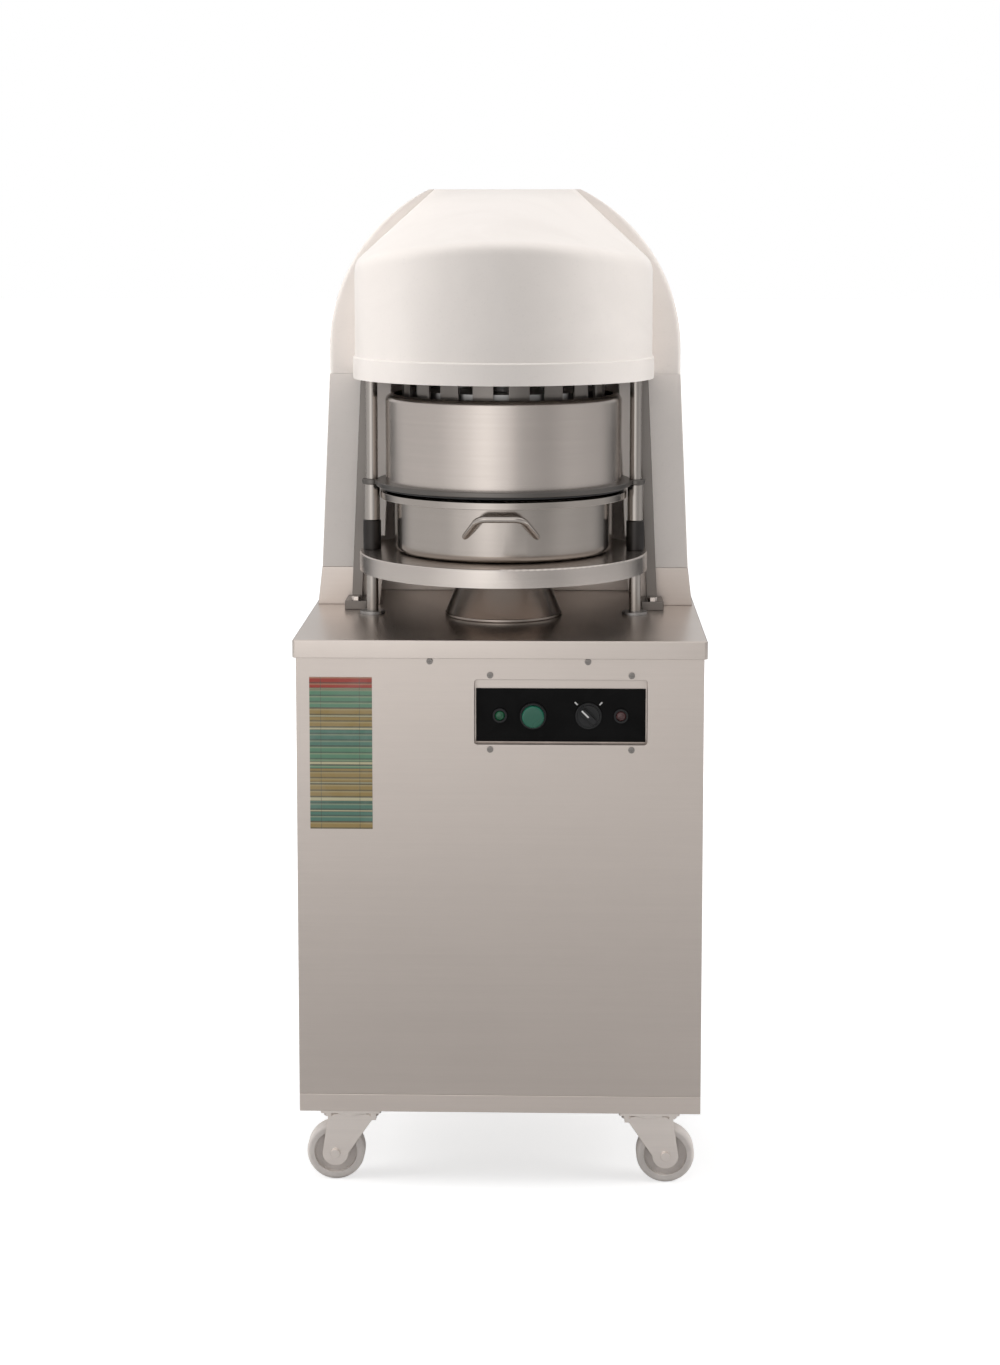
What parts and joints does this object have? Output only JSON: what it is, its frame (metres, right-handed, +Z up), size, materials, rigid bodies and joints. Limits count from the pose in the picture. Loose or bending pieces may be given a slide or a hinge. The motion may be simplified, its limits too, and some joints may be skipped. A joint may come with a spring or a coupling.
{
  "type": "dough divider",
  "caption": "Free-standing electric dough divider on casters: round pan on a table disc under a knife basket with a sprung press plate, white hood and stainless cabinet.",
  "frame": {"origin": "middle of the footprint, on the floor under the wheels", "axes": "+Z up, -Y to the front with the control panel, +X to the right seen from the front"},
  "size_m": [0.522, 0.42, 1.285],
  "materials": {
    "stainless": "brushed stainless sheet",
    "polished_steel": "polished stainless steel",
    "white_paint": "satin white paint",
    "dark_steel": "blackened steel",
    "machined_steel": "machined steel",
    "grey_iron": "painted cast iron",
    "black_seal": "moulded rubber",
    "black_panel": "satin black plastic",
    "green_plastic": "glossy green plastic",
    "red_plastic": "glossy red plastic",
    "chart_print": "printed plastic sheet",
    "zinc_steel": "bright zinc plate",
    "wheel_grey": "light grey moulded wheel"
  },
  "bodies": {
    "cabinet": {"base_tray": "stainless", "corner_angles": "stainless", "front_panel": "stainless", "left_side_panel": "stainless", "right_side_panel": "stainless", "rear_panel": "stainless", "worktop": "stainless", "control_box": "stainless", "control_plate": "black_panel", "panel_screws": "zinc_steel", "control_bezels": "black_panel", "green_lens": "green_plastic", "red_lens": "red_plastic", "band_chart": "chart_print", "cable_gland": "black_panel", "pedestal": "machined_steel", "table_disc": "polished_steel", "post_bolts": "zinc_steel", "rod_housings": "dark_steel", "rod_sleeves": "polished_steel", "drum_shell": "polished_steel", "drum_flange": "polished_steel", "drum_seal": "black_seal", "worktop_bushes": "machined_steel", "posts": "machined_steel", "head_plate": "machined_steel", "hood": "white_paint", "rear_cover": "white_paint", "rear_plinth": "stainless", "drive_rails": "machined_steel", "gearbox": "grey_iron", "motor": "grey_iron", "caster_plates": "zinc_steel", "rear_forks": "zinc_steel", "caster_bolts": "zinc_steel"},
    "knife_head": {"crosshead": "machined_steel", "pull_rods": "polished_steel", "rod_nuts": "zinc_steel", "cutter_ring": "polished_steel", "ring_knives": "stainless", "radial_blades": "stainless", "cutter_carrier": "machined_steel", "head_columns": "machined_steel", "lower_yoke": "machined_steel", "rack": "machined_steel", "press_spring": "machined_steel"},
    "press_plate": {"press_carrier": "machined_steel", "press_segments": "polished_steel"},
    "drive_pinion": {"pinion": "machined_steel"},
    "dough_pan": {"pan": "polished_steel", "pan_handle": "polished_steel"},
    "push_button": {"start_button": "green_plastic"},
    "selector": {"selector_knob": "black_panel"},
    "left_swivel": {"front_left_fork": "zinc_steel"},
    "right_swivel": {"front_right_fork": "zinc_steel"},
    "front_left_roller": {"front_left_wheel": "wheel_grey"},
    "front_right_roller": {"front_right_wheel": "wheel_grey"},
    "rear_left_roller": {"rear_left_wheel": "wheel_grey"},
    "rear_right_roller": {"rear_right_wheel": "wheel_grey"}
  },
  "joints": [
    {"name": "head_lift", "type": "slide", "parent": "cabinet", "child": "knife_head", "axis": [0, 0, 1], "range_m": [-0.103, 0]},
    {"name": "press_slide", "type": "slide", "parent": "knife_head", "child": "press_plate", "axis": [0, 0, 1], "range_m": [0, 0.038], "stiffness_N_per_m": 5000, "springref_m": -0.03, "deforming": ["press_spring"]},
    {"name": "pinion_turn", "type": "hinge", "parent": "cabinet", "child": "drive_pinion", "pos_m": [-0.03, 0, 0.42], "axis": [0, 1, 0], "range_deg": [0, 197]},
    {"name": "pan_slide", "type": "slide", "parent": "cabinet", "child": "dough_pan", "axis": [0, -1, 0], "range_m": [0, 0.16]},
    {"name": "button_press", "type": "slide", "parent": "cabinet", "child": "push_button", "axis": [0, 1, 0], "range_m": [0, 0.004], "stiffness_N_per_m": 700, "springref_m": -0.003},
    {"name": "selector_turn", "type": "hinge", "parent": "cabinet", "child": "selector", "pos_m": [0.112, -0.196, 0.62], "axis": [0, 1, 0], "range_deg": [0, 90]},
    {"name": "left_swivel_turn", "type": "hinge", "parent": "cabinet", "child": "left_swivel", "pos_m": [-0.192, -0.162, 0.09], "axis": [0, 0, 1], "continuous": true},
    {"name": "front_left_roll", "type": "hinge", "parent": "left_swivel", "child": "front_left_roller", "pos_m": [-0.214, -0.162, 0.0375], "axis": [0, 1, 0], "continuous": true},
    {"name": "rear_left_roll", "type": "hinge", "parent": "cabinet", "child": "rear_left_roller", "pos_m": [-0.192, 0.162, 0.0375], "axis": [1, 0, 0], "continuous": true},
    {"name": "right_swivel_turn", "type": "hinge", "parent": "cabinet", "child": "right_swivel", "pos_m": [0.192, -0.162, 0.09], "axis": [0, 0, 1], "continuous": true},
    {"name": "front_right_roll", "type": "hinge", "parent": "right_swivel", "child": "front_right_roller", "pos_m": [0.214, -0.162, 0.0375], "axis": [0, 1, 0], "continuous": true},
    {"name": "rear_right_roll", "type": "hinge", "parent": "cabinet", "child": "rear_right_roller", "pos_m": [0.192, 0.162, 0.0375], "axis": [1, 0, 0], "continuous": true}
  ],
  "couplings": [
    {"joint": "pinion_turn", "follows": "head_lift", "rad_per_m": -33.333}
  ]
}
